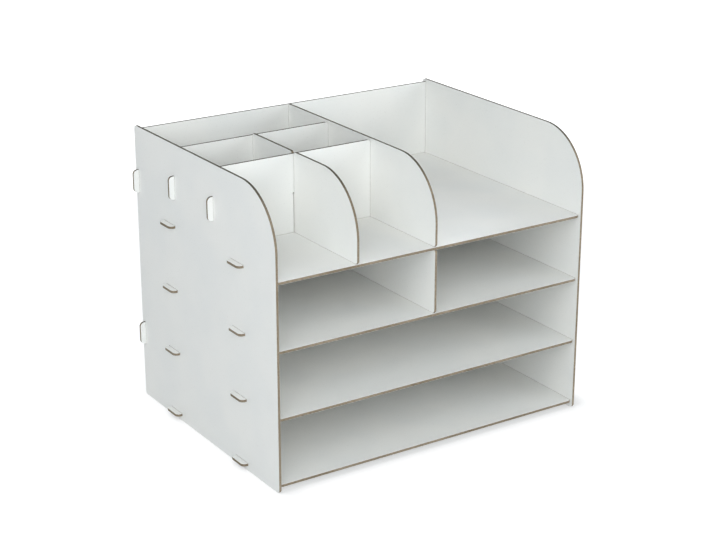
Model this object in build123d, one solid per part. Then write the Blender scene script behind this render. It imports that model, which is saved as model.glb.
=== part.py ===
"""Desk organizer of white-faced board, held together by tabs that pass through slots.

The frame has +X to the right as seen from the open front, +Y to the rear and +Z up.
Its origin is the middle of the outer box, on the surface that the organizer stands on.
All lengths are in millimetres.
"""
import os

from build123d import *

# Driving dimensions
BOARD = 2.5               # thickness of the board that every piece is cut from
WIDTH = 330.0             # over the outer faces of the two side panels
BOTTOM_LIFT = 4.5         # from the standing surface to the underside of the bottom panel
BAY_HEIGHT = 60.0         # clear height of each bay under the upper shelf
UPPER_HEIGHT = 77.5       # from the top of the upper shelf to the top of the side panels
TRAY_DEPTH = 105.0        # from the side panels' front edges to the front cross divider
PEN_BAY_DEPTH = 69.5      # clear depth of each row of pen bays behind it
FRONT_SETBACK = 2.0       # shelves and dividers end this far behind the side panels' fronts
BACK_INSET = 3.5          # from the back panel's rear face to the side panels' rear edges
TOP_DROP = 2.5            # back panel and long dividers end this far below the side panels
CROSS_DROP = 1.5          # cross dividers end this far below the long dividers
FRONT_SWEEP = 55.0        # radius of the large curve at the top front of the upright boards
SIDE_ROUND = 3.5          # radius of a side panel's other corners
CORNER_ROUND = 3.0        # radius of the free corners of shelves and dividers
TAB_LENGTH = 22.0         # along the edge that the tab stands on
TAB_REACH = 5.5           # a tab through a side panel stands out this far beyond it
TAB_ROUND = 4.0           # radius of a standing tab's two corners
SLOT_GAP = 0.1            # play between a tab and its slot, on each side
LAP_GAP = 0.5             # play in the half-lap joint, on each side of the board
LAP_RELIEF = 0.8          # radius of the relief in the closed corners of the half-lap joint
SIDE_TAB_SPACING = 125.0  # between the two tabs on a shelf's end, centre to centre
REAR_TAB_SPACING = 162.0  # between the two tabs on a shelf's rear edge, centre to centre
BACK_TAB_LOW = 66.0       # from the standing surface to the middle of the back's lower tabs
BACK_TAB_DROP = 53.0      # from the side panels' top to the middle of its upper tabs

LEVELS = ["bottom_panel", "lower_shelf", "middle_shelf", "upper_shelf"]

# Heights
shelf_pitch = BAY_HEIGHT + BOARD
undersides = {name: BOTTOM_LIFT + i * shelf_pitch for i, name in enumerate(LEVELS)}
middle_floor = undersides["middle_shelf"] + BOARD
middle_ceiling = undersides["upper_shelf"]
upper_floor = middle_ceiling + BOARD
height = upper_floor + UPPER_HEIGHT
divider_top = height - TOP_DROP
cross_top = divider_top - CROSS_DROP
cross_middle = (upper_floor + cross_top) / 2
main_middle = (upper_floor + divider_top) / 2
lower_middle = (middle_floor + middle_ceiling) / 2
back_tab_heights = [BACK_TAB_LOW, height - BACK_TAB_DROP]

# Depths, from the front at low Y to the rear
depth = TRAY_DEPTH + 2 * PEN_BAY_DEPTH + 3 * BOARD + BACK_INSET
side_front = -depth / 2
side_rear = depth / 2
shelf_front = side_front + FRONT_SETBACK
front_cross = side_front + TRAY_DEPTH
rear_cross = front_cross + BOARD + PEN_BAY_DEPTH
back_front = side_rear - BACK_INSET - BOARD
tray_middle = (side_front + front_cross) / 2
side_tabs = [-SIDE_TAB_SPACING / 2, SIDE_TAB_SPACING / 2]

# Widths
inner_right = WIDTH / 2 - BOARD
inner_left = -inner_right
main_left = -BOARD / 2
small_left = (inner_left + main_left - BOARD) / 2
small_middle = small_left + BOARD / 2
rear_tabs = [-REAR_TAB_SPACING / 2, REAR_TAB_SPACING / 2]

# Turns that point a tab or a slot in a direction of its board's own plane
RIGHT, UP, LEFT, DOWN = (Rot(0, 0, turn) for turn in (0, 90, 180, -90))


def panel(x0, x1, y0, y1):
    """A rectangular outline from its low corner to its high corner."""
    return Pos((x0 + x1) / 2, (y0 + y1) / 2) * Rectangle(x1 - x0, y1 - y0)


def rounded(outline, x, y, radius):
    """The outline with its corner at (x, y) rounded."""
    corner = outline.vertices().sort_by_distance((x, y, 0))[0]
    return fillet(corner, radius)


def tab(x, y, direction, standout=0.0):
    """A tab whose root is centred on (x, y). It passes one board and stands out beyond it."""
    reach = BOARD + standout
    outline = Pos(reach / 2, 0) * Rectangle(reach, TAB_LENGTH)
    radius = min(TAB_ROUND, standout)
    if radius > 0:
        outline = fillet(outline.vertices().sort_by(Axis.X)[-2:], radius)
    return Pos(x, y) * direction * outline


def slot(x, y, direction):
    """The slot for a tab, centred on (x, y), with its length along the direction."""
    outline = Rectangle(TAB_LENGTH + 2 * SLOT_GAP, BOARD + 2 * SLOT_GAP)
    return Pos(x, y) * direction * outline


def lying(outline, underside):
    """A level board. The outline's x and y are the frame's X and Y."""
    return extrude(Plane.XY.offset(underside) * outline, BOARD)


def lengthwise(outline, left_face):
    """An upright board from front to rear. The outline's x and y are the frame's Y and Z."""
    return extrude(Plane.YZ.offset(left_face) * outline, BOARD)


def crosswise(outline, front_face):
    """An upright board from left to right. The outline's x and y are the frame's X and Z."""
    return extrude(Plane.XZ.offset(-front_face - BOARD) * outline, BOARD)


def side_outline():
    """A side panel with the large curve at its front, and slots for the shelves and the back."""
    outline = panel(side_front, side_rear, 0, height)
    outline = rounded(outline, side_front, height, FRONT_SWEEP)
    for y, z in ((side_rear, height), (side_rear, 0), (side_front, 0)):
        outline = rounded(outline, y, z, SIDE_ROUND)
    for underside in undersides.values():
        for y in side_tabs:
            outline -= slot(y, underside + BOARD / 2, RIGHT)
    for z in back_tab_heights:
        outline -= slot(back_front + BOARD / 2, z, UP)
    return outline


def make_left_side_panel():
    """The cross dividers also pass their tabs through this panel."""
    outline = side_outline()
    for cross in (front_cross, rear_cross):
        outline -= slot(cross + BOARD / 2, cross_middle, UP)
    return lengthwise(outline, inner_left - BOARD)


def make_right_side_panel():
    return lengthwise(side_outline(), inner_right)


def make_back_panel():
    """It stands between the side panels, and takes the rear tabs of shelves and dividers."""
    outline = panel(inner_left, inner_right, 0, divider_top)
    for z in back_tab_heights:
        outline += tab(inner_left, z, LEFT, TAB_REACH)
        outline += tab(inner_right, z, RIGHT, TAB_REACH)
    for underside in undersides.values():
        for x in rear_tabs:
            outline -= slot(x, underside + BOARD / 2, RIGHT)
    for z in (lower_middle, main_middle):
        outline -= slot(0, z, UP)
    return crosswise(outline, back_front)


def shelf_outline():
    """A shelf with two tabs on each end and two on its rear edge."""
    outline = panel(inner_left, inner_right, shelf_front, back_front)
    for x in (inner_left, inner_right):
        outline = rounded(outline, x, shelf_front, CORNER_ROUND)
    for y in side_tabs:
        outline += tab(inner_left, y, LEFT, TAB_REACH)
        outline += tab(inner_right, y, RIGHT, TAB_REACH)
    for x in rear_tabs:
        outline += tab(x, back_front, UP, BACK_INSET)
    return outline


def make_plain_shelf(name):
    return lying(shelf_outline(), undersides[name])


def make_middle_shelf():
    """It carries the lower divider, whose tabs end flush with its underside."""
    outline = shelf_outline()
    for y in side_tabs:
        outline -= slot(0, y, UP)
    return lying(outline, undersides["middle_shelf"])


def make_upper_shelf():
    """Its slots take the dividers that stand on it, and the lower divider's top tab."""
    outline = shelf_outline()
    for y in side_tabs + [0]:
        outline -= slot(0, y, UP)
    outline -= slot(small_middle, tray_middle, UP)
    return lying(outline, undersides["upper_shelf"])


def long_divider_outline(rear_edge):
    """A divider on the upper shelf, from front to rear, with the large curve at its front."""
    outline = panel(shelf_front, rear_edge, upper_floor, divider_top)
    sweep = min(FRONT_SWEEP, divider_top - upper_floor - CORNER_ROUND - BOARD)
    outline = rounded(outline, shelf_front, divider_top, sweep)
    return rounded(outline, shelf_front, upper_floor, CORNER_ROUND)


def make_main_divider():
    """It parts the upper space in two halves, and its tabs pass the shelf and the back."""
    outline = long_divider_outline(back_front)
    for y in side_tabs:
        outline += tab(y, upper_floor, DOWN)
    outline += tab(back_front, main_middle, RIGHT, BACK_INSET)
    for cross in (front_cross, rear_cross):
        outline -= slot(cross + BOARD / 2, cross_middle, UP)
    return lengthwise(outline, main_left)


def make_small_divider():
    """It parts the left half's trays and pen bays, and is open above for the half-lap joint."""
    outline = long_divider_outline(rear_cross)
    outline += tab(tray_middle, upper_floor, DOWN)
    outline += tab(rear_cross, cross_middle, RIGHT)
    lap_middle = front_cross + BOARD / 2
    lap_half = BOARD / 2 + LAP_GAP
    outline -= panel(lap_middle - lap_half, lap_middle + lap_half, cross_middle, height)
    for y in (lap_middle - lap_half, lap_middle + lap_half):
        outline = rounded(outline, y, divider_top, CORNER_ROUND)
    return lengthwise(outline, small_left)


def make_lower_divider():
    """It parts the bay under the upper shelf in two halves."""
    outline = panel(shelf_front, back_front, middle_floor, middle_ceiling)
    for z in (middle_floor, middle_ceiling):
        outline = rounded(outline, shelf_front, z, CORNER_ROUND)
    for y in side_tabs:
        outline += tab(y, middle_floor, DOWN)
    outline += tab(0, middle_ceiling, UP)
    outline += tab(back_front, lower_middle, RIGHT, BACK_INSET)
    return lengthwise(outline, main_left)


def cross_outline():
    """A cross divider from the left side panel to the main divider."""
    outline = panel(inner_left, main_left, upper_floor, cross_top)
    for x in (inner_left, main_left):
        outline = rounded(outline, x, cross_top, CORNER_ROUND)
    outline += tab(inner_left, cross_middle, LEFT, TAB_REACH)
    outline += tab(main_left, cross_middle, RIGHT)
    return outline


def make_front_cross_divider():
    """It is open below for the half-lap joint, a little wider than the board that it takes."""
    outline = cross_outline()
    lap_half = BOARD / 2 + LAP_GAP
    outline -= panel(small_middle - lap_half, small_middle + lap_half, upper_floor, cross_middle)
    for x in (small_middle - lap_half, small_middle + lap_half):
        outline -= Pos(x, cross_middle) * Circle(LAP_RELIEF)
    return crosswise(outline, front_cross)


def make_rear_cross_divider():
    """Its slot takes the small divider's rear tab."""
    return crosswise(cross_outline() - slot(small_middle, cross_middle, UP), rear_cross)


parts = {
    "left_side_panel": make_left_side_panel(),
    "right_side_panel": make_right_side_panel(),
    "back_panel": make_back_panel(),
    "bottom_panel": make_plain_shelf("bottom_panel"),
    "lower_shelf": make_plain_shelf("lower_shelf"),
    "middle_shelf": make_middle_shelf(),
    "upper_shelf": make_upper_shelf(),
    "lower_divider": make_lower_divider(),
    "main_divider": make_main_divider(),
    "small_divider": make_small_divider(),
    "front_cross_divider": make_front_cross_divider(),
    "rear_cross_divider": make_rear_cross_divider(),
}

os.makedirs("parts", exist_ok=True)
for name, part in parts.items():
    export_step(part, f"parts/{name}.step")
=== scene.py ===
"""Dresses the desk organizer's boards and sets them in a plain studio.

Each board is a copy of its CAD node. It is merged into clean faces, its sharp edges are
eased, and it gets two finishes: the white facing and the bare cut edge. No piece moves.
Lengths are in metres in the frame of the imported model, with +X to the right as seen from
the open front, +Y to the rear and +Z up.
"""

import math

import bpy
from bpy.props import FloatProperty, FloatVectorProperty, IntProperty, PointerProperty
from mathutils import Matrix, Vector


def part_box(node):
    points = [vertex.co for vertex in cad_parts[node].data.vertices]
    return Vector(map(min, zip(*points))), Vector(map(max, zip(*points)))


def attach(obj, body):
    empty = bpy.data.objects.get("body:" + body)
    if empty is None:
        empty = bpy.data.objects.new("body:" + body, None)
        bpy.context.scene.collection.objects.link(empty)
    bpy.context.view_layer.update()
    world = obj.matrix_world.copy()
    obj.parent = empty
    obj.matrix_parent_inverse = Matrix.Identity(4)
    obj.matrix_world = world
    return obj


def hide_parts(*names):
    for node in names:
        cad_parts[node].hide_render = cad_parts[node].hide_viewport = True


bl_info = {
    "name": "Slotted Desk Organizer",
    "version": (1, 0, 0),
    "blender": (4, 5, 0),
    "location": "View3D > Sidebar > Organizer",
    "description": "Finishes the boards of a slotted desk organizer and lights them",
    "category": "Object",
}

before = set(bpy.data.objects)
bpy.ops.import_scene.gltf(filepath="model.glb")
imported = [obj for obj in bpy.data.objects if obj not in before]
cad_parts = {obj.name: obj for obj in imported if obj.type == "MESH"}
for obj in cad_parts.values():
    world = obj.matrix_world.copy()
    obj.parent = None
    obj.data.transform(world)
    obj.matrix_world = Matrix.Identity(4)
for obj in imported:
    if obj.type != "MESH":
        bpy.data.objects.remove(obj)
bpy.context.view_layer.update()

MM = 0.001
BODY = "root"

SIDE_PANELS = ["left_side_panel", "right_side_panel"]
BACK_PANEL = ["back_panel"]
LEVEL_BOARDS = ["bottom_panel", "lower_shelf", "middle_shelf", "upper_shelf"]
LONG_DIVIDERS = ["lower_divider", "main_divider", "small_divider"]
CROSS_DIVIDERS = ["front_cross_divider", "rear_cross_divider"]

# Cleaning a copied mesh: corners this close are one, and faces this near to flat are one
MERGE_REACH = 0.01 * MM
MERGE_ANGLE = math.radians(0.2)
# An edge that turns more than the first angle is eased, and one under the second is smoothed
SHARP_ANGLE = math.radians(30)
SMOOTH_ANGLE = math.radians(15)
# The facing covers a polygon that turns less than half a right angle from the board's face
FACING_REACH = math.cos(math.radians(45))
FLAT = math.cos(math.radians(1))

# The finishes, in the order of a board's material slots
FACING, CUT_EDGE = 0, 1
FACING_NAME = "melamine_facing_satin_white"
CUT_EDGE_NAME = "mdf_bare_cut_edge"
FACING_THICKNESS = 0.12 * MM
# Painted shade of the joints: the facing is darkened where another board is nearer than this
SEAM_REACH = 0.3 * MM
# The attribute that the finishes read: a point's place on its board
PLACE = "board_place"
# Sockets of the colour form of Blender's Mix node
MIX_FACTOR, MIX_A, MIX_B, MIX_RESULT = 0, 6, 7, 2

# The studio's soft boxes and its paper
BOX_DISTANCE, BOX_WIDTH, BOX_HEIGHT = 1.8, 1.4, 1.1
PAPER_SIZE = 12.0
# How far the painted share of the shadow at the foot reaches, and where the paper starts and ends to
# burn out
FOOT_SHADOW = 25 * MM
FADE_START, FADE_END = 350 * MM, 800 * MM


def linear(code):
    """The linear colour of an sRGB hex code."""
    channels = (int(code[i:i + 2], 16) / 255 for i in (1, 3, 5))
    return [c / 12.92 if c <= 0.04045 else ((c + 0.055) / 1.055) ** 2.4 for c in channels]


WHITE = (*linear("#FFFFFF"), 1.0)


class BoardSettings(bpy.types.PropertyGroup):
    """Sizes and colours of the boards' finish."""

    easing: FloatProperty(
        name="Easing",
        description="Width by which every sharp edge is eased",
        default=0.12 * MM, min=0.05 * MM, max=0.12 * MM, precision=5, unit="LENGTH",
    )
    easing_steps: IntProperty(
        name="Easing steps",
        description="Number of faces across an eased edge",
        default=2, min=1, max=6,
    )
    facing_colour: FloatVectorProperty(
        name="Facing",
        description="Main white of the facing, a little warm",
        default=linear("#F3F2EE"), min=0.0, max=1.0, subtype="COLOR",
    )
    facing_cloud_colour: FloatVectorProperty(
        name="Facing, clouded",
        description="Slightly greyer white in wide soft clouds",
        default=linear("#EFEFEC"), min=0.0, max=1.0, subtype="COLOR",
    )
    core_colour: FloatVectorProperty(
        name="Core",
        description="Pale fibres in the middle of the cut edge",
        default=linear("#9F917F"), min=0.0, max=1.0, subtype="COLOR",
    )
    # Also the colour of the painted shade in the joints of the facing
    fibre_and_seam_shade_colour: FloatVectorProperty(
        name="Fibres",
        description="Dark fibres and pores of the cut edge",
        default=linear("#746652"), min=0.0, max=1.0, subtype="COLOR",
    )
    skin_colour: FloatVectorProperty(
        name="Skin",
        description="Dense board next to the facing",
        default=linear("#756753"), min=0.0, max=1.0, subtype="COLOR",
    )
    # Painted shade: multiplied into the cut edges that face up, which makes them greyer and darker
    upward_edge_shade_colour: FloatVectorProperty(
        name="Upward edge shade",
        description="Tint of the painted shade in the edges that face up",
        default=linear("#9CA3A7"), min=0.0, max=1.0, subtype="COLOR",
    )


class StageSettings(bpy.types.PropertyGroup):
    """The camera's place, and the light. At a level of 1 a colour shows as it is written."""

    camera_azimuth: FloatProperty(
        name="Camera azimuth",
        description="Angle round the organizer, from its front towards its right",
        default=math.radians(-33.2), subtype="ANGLE",
    )
    camera_elevation: FloatProperty(
        name="Camera elevation",
        description="Angle of the camera above the horizon",
        default=math.radians(20.2), subtype="ANGLE",
    )
    camera_distance: FloatProperty(
        name="Camera distance",
        description="From the camera to the point that it looks at",
        default=1.656, min=0.5, unit="LENGTH",
    )
    camera_height: FloatProperty(
        name="Aim height",
        description="Height above the floor of the point that the camera looks at",
        default=0.1345, unit="LENGTH",
    )
    camera_lens: FloatProperty(
        name="Lens",
        description="Focal length of the camera",
        default=88.0, min=10.0, unit="CAMERA",
    )
    light_colour: FloatVectorProperty(
        name="Light",
        description="Colour of all the light, a little cool",
        default=linear("#F7FCFF"), min=0.0, max=1.0, subtype="COLOR",
    )
    key_level: FloatProperty(
        name="Key light",
        description="Level of the high soft box at the left",
        default=0.38, min=0.0,
    )
    front_level: FloatProperty(
        name="Front light",
        description="Level of the low soft box at the front left",
        default=0.29, min=0.0,
    )
    fill_level: FloatProperty(
        name="Fill light",
        description="Level of the low soft box at the front right",
        default=0.4, min=0.0,
    )
    rear_level: FloatProperty(
        name="Rear light",
        description="Level of the soft box behind the organizer",
        default=0.31, min=0.0,
    )
    ambient_level: FloatProperty(
        name="Ambient light",
        description="Level of the light from all round",
        default=0.3, min=0.0,
    )


# Finishes


def add_node(tree, kind, inputs=None, **settings):
    """Adds a node, sets it up, and gives its inputs a value or a link."""
    node = tree.nodes.new(kind)
    for name, value in settings.items():
        setattr(node, name, value)
    for key, value in (inputs or {}).items():
        if isinstance(value, bpy.types.NodeSocket):
            tree.links.new(value, node.inputs[key])
        else:
            node.inputs[key].default_value = value
    return node


def new_material(name):
    """A material with its node tree and its shader."""
    material = bpy.data.materials.new(name)
    material.use_nodes = True
    return material, material.node_tree, material.node_tree.nodes["Principled BSDF"]


def board_place(tree):
    """A point's place on its board, and its distance from the board's mid-plane."""
    place = add_node(tree, "ShaderNodeAttribute", attribute_name=PLACE).outputs["Vector"]
    parts = add_node(tree, "ShaderNodeSeparateXYZ", {"Vector": place}).outputs
    depth = add_node(tree, "ShaderNodeMath", {0: parts["Z"]}, operation="ABSOLUTE")
    return place, parts, depth.outputs["Value"]


def make_facing(settings, thickness):
    """White melamine facing, pressed onto fibreboard under a satin steel plate.

    The eye gets an even cool white with a soft sheen. It has a faint pebble that breaks up
    reflections, wide clouds that are a shade greyer, and small chips where it was cut.
    """
    material, tree, shader = new_material(FACING_NAME)
    place, _, depth = board_place(tree)
    half = thickness / 2

    # Each noise with the size of its features in millimetres, and its detail. The fibres of
    # the facing's paper are a few tenths of a millimetre thick. They are drawn at 0.9 mm,
    # because finer ones don't show.
    noise = {}
    for name, size, detail in (
        ("clouds", 70, 2), ("fibres", 0.9, 0), ("chips", 3, 2), ("gloss", 14, 3), ("pebble", 1.3, 1),
    ):
        inputs = {"Vector": place, "Scale": 1 / (size * MM), "Detail": detail}
        noise[name] = add_node(tree, "ShaderNodeTexNoise", inputs).outputs["Fac"]

    # Where boards meet, their gap is too narrow to model. Its shade is painted into the facing as a
    # dark hairline wherever another board stands near.
    seam_shade = add_node(tree, "ShaderNodeAmbientOcclusion", {"Distance": SEAM_REACH}, samples=8)
    # Each effect with what drives it, where it starts and is full, and its strength
    amounts = {}
    for name, value, start, full, strength in (
        ("clouds", noise["clouds"], 0.35, 0.65, 1.0),
        ("fibres", noise["fibres"], 0.74, 0.84, 0.12),
        # painted shade in the joints, darker where another board is near
        ("seam_shade", seam_shade.outputs["AO"], 0.95, 0.6, 0.7),
        ("turned", depth, half - 0.005 * MM, half - 0.03 * MM, 1.0),
    ):
        inputs = {"Value": value, "From Min": start, "From Max": full, "To Max": strength}
        amount = add_node(tree, "ShaderNodeMapRange", inputs, interpolation_type="SMOOTHSTEP")
        amounts[name] = amount.outputs["Result"]
    # Where the facing turns over the eased edge, the cutter has chipped it through in places
    ragged = add_node(tree, "ShaderNodeMath", {0: amounts["turned"], 1: noise["chips"]})
    inputs = {"Value": ragged.outputs["Value"], "From Min": 1.5, "From Max": 1.6}
    chipped = add_node(tree, "ShaderNodeMapRange", inputs, interpolation_type="SMOOTHSTEP")
    chips = chipped.outputs["Result"]

    colour = (*settings.facing_colour, 1.0)
    for amount, tint in (
        (amounts["clouds"], settings.facing_cloud_colour),
        (amounts["fibres"], settings.skin_colour),
        # the painted shade of the joints takes the colour of the dark fibres
        (amounts["seam_shade"], settings.fibre_and_seam_shade_colour),
        (chips, settings.core_colour),
    ):
        inputs = {MIX_FACTOR: amount, MIX_A: colour, MIX_B: (*tint, 1.0)}
        colour = add_node(tree, "ShaderNodeMix", inputs, data_type="RGBA").outputs[MIX_RESULT]
    tree.links.new(colour, shader.inputs["Base Color"])

    # The steel plate leaves the satin a little uneven, and the chips are matt
    inputs = {
        "Value": noise["gloss"], "From Min": 0.3, "From Max": 0.7, "To Min": 0.4, "To Max": 0.5,
    }
    satin = add_node(tree, "ShaderNodeMapRange", inputs).outputs["Result"]
    roughness = add_node(tree, "ShaderNodeMath", {0: satin, 1: chips}, operation="MAXIMUM")
    tree.links.new(roughness.outputs["Value"], shader.inputs["Roughness"])

    # Relief: the pebble stands up by a fifth of a chip's depth
    pebble = add_node(tree, "ShaderNodeMath", {0: noise["pebble"], 1: 0.2}, operation="MULTIPLY")
    inputs = {0: pebble.outputs["Value"], 1: chips}
    relief = add_node(tree, "ShaderNodeMath", inputs, operation="SUBTRACT").outputs["Value"]
    inputs = {"Height": relief, "Distance": 0.04 * MM, "Strength": 0.6}
    bump = add_node(tree, "ShaderNodeBump", inputs).outputs["Normal"]
    tree.links.new(bump, shader.inputs["Normal"])
    shader.inputs["IOR"].default_value = 1.5
    return material


def make_cut_edge(settings, thickness):
    """Bare medium-density fibreboard, cut square through its thickness.

    The eye gets a matt grey-brown without sheen. It has flecks of fibre, faint marks that the
    cutter left across the thickness, tone that drifts along the cut, a denser and darker skin
    near both faces, and the section of the white facing as a hairline on each side. Edges that
    face up get painted shade, which makes them greyer and darker.
    """
    material, tree, shader = new_material(CUT_EDGE_NAME)
    place, parts, depth = board_place(tree)
    half = thickness / 2
    inputs = {"X": parts["X"], "Y": parts["Y"], "Z": 0.0}
    along = add_node(tree, "ShaderNodeCombineXYZ", inputs).outputs["Vector"]

    # Each noise with its place, the size of its features in millimetres, its detail, its
    # roughness, and its share in the tone. Cutter marks run straight through the thickness.
    # Real ones are about 0.2 mm apart, and these are 1.6 mm apart, because finer ones don't show.
    noise = {}
    tone = 0.0
    for name, vector, size, detail, roughness, weight in (
        ("fibres", place, 0.7, 3, 0.65, 0.55),
        ("marks", along, 1.6, 2, 0.7, 0.45),
        ("drift", along, 45, 2, 0.5, 0.5),
    ):
        inputs = {
            "Vector": vector, "Scale": 1 / (size * MM), "Detail": detail, "Roughness": roughness,
        }
        noise[name] = add_node(tree, "ShaderNodeTexNoise", inputs).outputs["Fac"]
        inputs = {0: noise[name], 1: weight, 2: tone}
        tone = add_node(tree, "ShaderNodeMath", inputs, operation="MULTIPLY_ADD").outputs["Value"]

    # The facing's section has a ragged inner border
    inputs = {0: noise["fibres"], 1: FACING_THICKNESS, 2: depth}
    ragged = add_node(tree, "ShaderNodeMath", inputs, operation="MULTIPLY_ADD").outputs["Value"]
    normal = add_node(tree, "ShaderNodeNewGeometry").outputs["Normal"]
    upward = add_node(tree, "ShaderNodeSeparateXYZ", {"Vector": normal}).outputs["Z"]
    # Each layer of colour with what drives it, where it starts and is full, and its strength
    colour = (*settings.core_colour, 1.0)
    for tint, kind, value, start, full, strength in (
        (settings.fibre_and_seam_shade_colour, "MIX", tone, 0.55, 0.95, 1.0),
        (settings.skin_colour, "MIX", depth, 0.5 * half, 0.85 * half, 0.6),
        # painted shade: the edges that face up are made greyer and darker
        (settings.upward_edge_shade_colour, "MULTIPLY", upward, 0.6, 1.0, 1.0),
        (settings.facing_colour, "MIX", ragged, half - 0.08 * MM, half - 0.04 * MM, 1.0),
    ):
        inputs = {"Value": value, "From Min": start, "From Max": full, "To Max": strength}
        amount = add_node(tree, "ShaderNodeMapRange", inputs, interpolation_type="SMOOTHSTEP")
        inputs = {MIX_FACTOR: amount.outputs["Result"], MIX_A: colour, MIX_B: (*tint, 1.0)}
        layer = add_node(tree, "ShaderNodeMix", inputs, data_type="RGBA", blend_type=kind)
        colour = layer.outputs[MIX_RESULT]
    tree.links.new(colour, shader.inputs["Base Color"])

    relief = add_node(tree, "ShaderNodeMath", {0: noise["marks"], 1: noise["fibres"]})
    inputs = {"Height": relief.outputs["Value"], "Distance": 0.08 * MM, "Strength": 0.7}
    bump = add_node(tree, "ShaderNodeBump", inputs).outputs["Normal"]
    tree.links.new(bump, shader.inputs["Normal"])
    shader.inputs["Roughness"].default_value = 0.9
    shader.inputs["IOR"].default_value = 1.45
    shader.inputs["Specular IOR Level"].default_value = 0.25
    return material


def finishes(settings, thickness):
    """The two finishes of every board, made once and then found by name."""
    if FACING_NAME in bpy.data.materials:
        return bpy.data.materials[FACING_NAME], bpy.data.materials[CUT_EDGE_NAME]
    return make_facing(settings, thickness), make_cut_edge(settings, thickness)


# Boards


def work_on(board):
    """Selects the board alone and makes it active."""
    bpy.ops.object.select_all(action="DESELECT")
    board.select_set(True)
    bpy.context.view_layer.objects.active = board


def copied_node(node_name):
    """A copy of a CAD node, merged into clean flat faces."""
    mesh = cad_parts[node_name].data.copy()
    mesh.materials.clear()
    board = bpy.data.objects.new(f"{node_name}_faced", mesh)
    bpy.context.collection.objects.link(board)
    work_on(board)
    bpy.ops.object.mode_set(mode="EDIT")
    bpy.ops.mesh.select_all(action="SELECT")
    bpy.ops.mesh.remove_doubles(threshold=MERGE_REACH)
    bpy.ops.mesh.dissolve_limited(angle_limit=MERGE_ANGLE, delimit=set())
    bpy.ops.object.mode_set(mode="OBJECT")
    return board


def ease_edges(board, settings):
    """Rounds every sharp edge a little, as the cutter and handling leave it."""
    work_on(board)
    bpy.ops.object.mode_set(mode="EDIT")
    bpy.ops.mesh.select_mode(type="EDGE")
    bpy.ops.mesh.select_all(action="DESELECT")
    bpy.ops.mesh.edges_select_sharp(sharpness=SHARP_ANGLE)
    # Without loop_slide off, corners slide along the faces' inner edges and fold the faces
    bpy.ops.mesh.bevel(
        offset=settings.easing, segments=settings.easing_steps, affect="EDGES", loop_slide=False
    )
    bpy.ops.object.mode_set(mode="OBJECT")


def mark_places(board, thin_axis, middle):
    """Writes each point's place on its board: two lengths along it, and one across it.

    The board's own place is added to the lengths, so that no two boards share a pattern.
    """
    places = []
    for vertex in board.data.vertices:
        place = list(vertex.co)
        across = place.pop(thin_axis) - middle
        places += [length + middle for length in place] + [across]
    marks = board.data.attributes.new(PLACE, "FLOAT_VECTOR", "POINT")
    marks.data.foreach_set("vector", places)


def finish_board(node_name, settings):
    """Makes the dressed board that stands for a CAD node."""
    low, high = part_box(node_name)
    spans = list(high - low)
    thickness = min(spans)
    thin_axis = spans.index(thickness)
    middle = (low[thin_axis] + high[thin_axis]) / 2

    board = copied_node(node_name)
    ease_edges(board, settings)
    mark_places(board, thin_axis, middle)
    for material in finishes(settings, thickness):
        board.data.materials.append(material)
    for face in board.data.polygons:
        faced = abs(face.normal[thin_axis]) > FACING_REACH
        face.material_index = FACING if faced else CUT_EDGE
    # Steps of the large curves are smoothed, and the eased edges and broad faces stay crisp
    bpy.ops.object.shade_smooth_by_angle(angle=SMOOTH_ANGLE)
    for face in board.data.polygons:
        if abs(face.normal[thin_axis]) > FLAT:
            face.use_smooth = False

    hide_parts(node_name)
    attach(board, BODY)
    return board


# Studio


def around(target, azimuth, elevation, distance):
    """The place at that distance from the target. Azimuth 0 is straight in front of it."""
    level = math.cos(elevation)
    way = Vector((math.sin(azimuth) * level, -math.cos(azimuth) * level, math.sin(elevation)))
    return target + distance * way


def turned_to(place, target):
    """The turn of a lamp or camera at the place that looks at the target."""
    return (target - place).to_track_quat("-Z", "Y").to_euler()


def add_soft_box(name, target, azimuth, elevation, level, colour):
    """A large soft lamp. Alone it lights a surface that faces it to about the level."""
    place = around(target, math.radians(azimuth), math.radians(elevation), BOX_DISTANCE)
    bpy.ops.object.light_add(type="AREA", location=place, rotation=turned_to(place, target))
    lamp = bpy.context.object
    lamp.name = name
    lamp.data.shape = "RECTANGLE"
    lamp.data.size = BOX_WIDTH
    lamp.data.size_y = BOX_HEIGHT
    lamp.data.energy = level * (math.pi * BOX_DISTANCE) ** 2
    lamp.data.color = colour


def seen_directly(tree):
    """1 for rays from the camera and for those seen in gloss or through glass, else 0."""
    path = add_node(tree, "ShaderNodeLightPath").outputs
    seen = path["Is Camera Ray"]
    for ray in ("Is Glossy Ray", "Is Transmission Ray"):
        inputs = {0: seen, 1: path[ray]}
        seen = add_node(tree, "ShaderNodeMath", inputs, operation="MAXIMUM").outputs["Value"]
    return seen


def add_world(settings):
    """A white surround to the eye, which lights the object at the ambient level."""
    world = bpy.data.worlds.new("white_surround")
    bpy.context.scene.world = world
    world.use_nodes = True
    tree = world.node_tree
    background = tree.nodes["Background"]
    seen = seen_directly(tree)
    inputs = {MIX_FACTOR: seen, MIX_A: (*settings.light_colour, 1.0), MIX_B: WHITE}
    colour = add_node(tree, "ShaderNodeMix", inputs, data_type="RGBA").outputs[MIX_RESULT]
    tree.links.new(colour, background.inputs["Color"])
    inputs = {"Value": seen, "To Min": settings.ambient_level, "To Max": 1.0}
    strength = add_node(tree, "ShaderNodeMapRange", inputs).outputs["Result"]
    tree.links.new(strength, background.inputs["Strength"])


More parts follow.
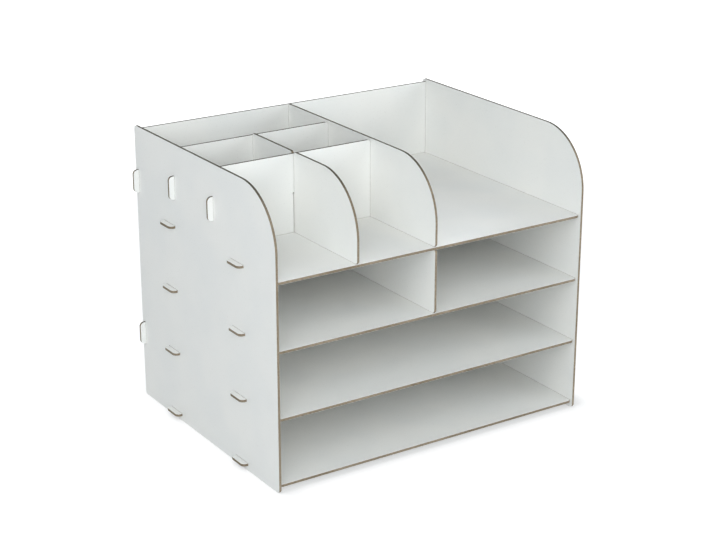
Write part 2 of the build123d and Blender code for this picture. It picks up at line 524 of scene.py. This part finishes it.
def make_floor_paper():
    """White background paper. To the eye it is burnt out, and keeps a short shadow at the foot,
    partly painted.
    """
    material, tree, shader = new_material("studio_paper_white")
    shader.inputs["Base Color"].default_value = (*linear("#E8E8E8"), 1.0)
    shader.inputs["Roughness"].default_value = 1.0
    shader.inputs["Specular IOR Level"].default_value = 0.0

    # The shadow at the foot is partly cast by the lamps on the paper's matt share, and partly
    # painted into its glow by its nearness to the organizer. The painted part is reckoned as seen
    # from up at the left, so it is faint on the left side.
    way = add_node(tree, "ShaderNodeCombineXYZ", {"X": -0.7, "Y": 0.0, "Z": 0.7})
    inputs = {"Distance": FOOT_SHADOW, "Normal": way.outputs["Vector"]}
    near = add_node(tree, "ShaderNodeAmbientOcclusion", inputs, samples=16)
    inputs = {"Value": near.outputs["AO"], "From Min": 0.57, "To Min": 0.5, "To Max": 0.8}
    foot = add_node(tree, "ShaderNodeMapRange", inputs).outputs["Result"]
    place = add_node(tree, "ShaderNodeTexCoord").outputs["Object"]
    away = add_node(tree, "ShaderNodeVectorMath", {0: place}, operation="LENGTH").outputs["Value"]
    inputs = {"Value": away, "From Min": FADE_START, "From Max": FADE_END}
    far = add_node(tree, "ShaderNodeMapRange", inputs, interpolation_type="SMOOTHSTEP")
    inputs = {0: foot, 1: far.outputs["Result"]}
    bright = add_node(tree, "ShaderNodeMath", inputs, operation="MAXIMUM").outputs["Value"]
    glow = add_node(tree, "ShaderNodeEmission", {"Strength": bright}).outputs["Emission"]
    matt = add_node(tree, "ShaderNodeBsdfDiffuse", {"Color": (*linear("#A2A2A2"), 1.0)})
    seen = add_node(tree, "ShaderNodeAddShader", {0: glow, 1: matt.outputs["BSDF"]})
    inputs = {0: seen_directly(tree), 1: shader.outputs["BSDF"], 2: seen.outputs["Shader"]}
    mixed = add_node(tree, "ShaderNodeMixShader", inputs).outputs["Shader"]
    tree.links.new(mixed, tree.nodes["Material Output"].inputs["Surface"])
    return material


def add_floor():
    """A wide sheet of paper under the organizer."""
    bpy.ops.object.select_all(action="DESELECT")
    bpy.ops.mesh.primitive_plane_add(size=PAPER_SIZE)
    floor = bpy.context.object
    floor.name = "studio_floor"
    floor.data.materials.append(make_floor_paper())


def add_camera(settings):
    """The camera at the photograph's viewing angle."""
    target = Vector((0.0, 0.0, settings.camera_height))
    place = around(
        target, settings.camera_azimuth, settings.camera_elevation, settings.camera_distance
    )
    bpy.ops.object.camera_add(location=place, rotation=turned_to(place, target))
    camera = bpy.context.object
    camera.name = "photo_camera"
    camera.data.lens = settings.camera_lens
    bpy.context.scene.camera = camera


# Operators and panel


class BoardOperator:
    """What the operators for the boards share."""

    bl_options = {"REGISTER", "UNDO"}
    node_names = []

    def execute(self, context):
        for name in self.node_names:
            finish_board(name, context.scene.organizer_boards)
        return {"FINISHED"}


class ORGANIZER_OT_side_panels(BoardOperator, bpy.types.Operator):
    """Finish the two upright sides with their large front curves"""

    bl_idname = "organizer.side_panels"
    bl_label = "Side Panels"
    node_names = SIDE_PANELS


class ORGANIZER_OT_back_panel(BoardOperator, bpy.types.Operator):
    """Finish the back between the sides"""

    bl_idname = "organizer.back_panel"
    bl_label = "Back Panel"
    node_names = BACK_PANEL


class ORGANIZER_OT_level_boards(BoardOperator, bpy.types.Operator):
    """Finish the bottom and the three shelves"""

    bl_idname = "organizer.level_boards"
    bl_label = "Bottom and Shelves"
    node_names = LEVEL_BOARDS


class ORGANIZER_OT_long_dividers(BoardOperator, bpy.types.Operator):
    """Finish the three dividers that run from front to rear"""

    bl_idname = "organizer.long_dividers"
    bl_label = "Long Dividers"
    node_names = LONG_DIVIDERS


class ORGANIZER_OT_cross_dividers(BoardOperator, bpy.types.Operator):
    """Finish the two dividers that run from the left side to the main divider"""

    bl_idname = "organizer.cross_dividers"
    bl_label = "Cross Dividers"
    node_names = CROSS_DIVIDERS


class ORGANIZER_OT_stage(bpy.types.Operator):
    """Set up the paper floor, the soft light and the camera"""

    bl_idname = "organizer.stage"
    bl_label = "Studio"
    bl_options = {"REGISTER", "UNDO"}

    def execute(self, context):
        settings = context.scene.organizer_stage
        context.scene.view_settings.view_transform = "Standard"
        target = Vector((0.0, 0.0, settings.camera_height))
        add_floor()
        add_world(settings)
        for name, azimuth, elevation, level in (
            ("key_soft_box", -50, 35, settings.key_level),
            ("front_soft_box", -30, 15, settings.front_level),
            ("fill_soft_box", 45, 15, settings.fill_level),
            ("rear_soft_box", 160, 30, settings.rear_level),
        ):
            add_soft_box(name, target, azimuth, elevation, level, settings.light_colour)
        add_camera(settings)
        return {"FINISHED"}


class ORGANIZER_PT_panel(bpy.types.Panel):
    """Lists the organizer's sizes, colours and steps"""

    bl_idname = "ORGANIZER_PT_panel"
    bl_label = "Slotted Desk Organizer"
    bl_space_type = "VIEW_3D"
    bl_region_type = "UI"
    bl_category = "Organizer"

    def draw(self, context):
        scene = context.scene
        for settings in (scene.organizer_boards, scene.organizer_stage):
            column = self.layout.column(align=True)
            for name in settings.__annotations__:
                column.prop(settings, name)
        for step in STEPS:
            self.layout.operator(step.bl_idname)


STEPS = [
    ORGANIZER_OT_side_panels,
    ORGANIZER_OT_back_panel,
    ORGANIZER_OT_level_boards,
    ORGANIZER_OT_long_dividers,
    ORGANIZER_OT_cross_dividers,
    ORGANIZER_OT_stage,
]
CLASSES = [BoardSettings, StageSettings, *STEPS, ORGANIZER_PT_panel]


def register():
    for cls in CLASSES:
        bpy.utils.register_class(cls)
    bpy.types.Scene.organizer_boards = PointerProperty(type=BoardSettings)
    bpy.types.Scene.organizer_stage = PointerProperty(type=StageSettings)


def unregister():
    del bpy.types.Scene.organizer_stage
    del bpy.types.Scene.organizer_boards
    for cls in reversed(CLASSES):
        bpy.utils.unregister_class(cls)


def main():
    register()
    bpy.ops.organizer.side_panels()
    bpy.ops.organizer.back_panel()
    bpy.ops.organizer.level_boards()
    bpy.ops.organizer.long_dividers()
    bpy.ops.organizer.cross_dividers()
    bpy.ops.organizer.stage()


if __name__ == "__main__":
    main()
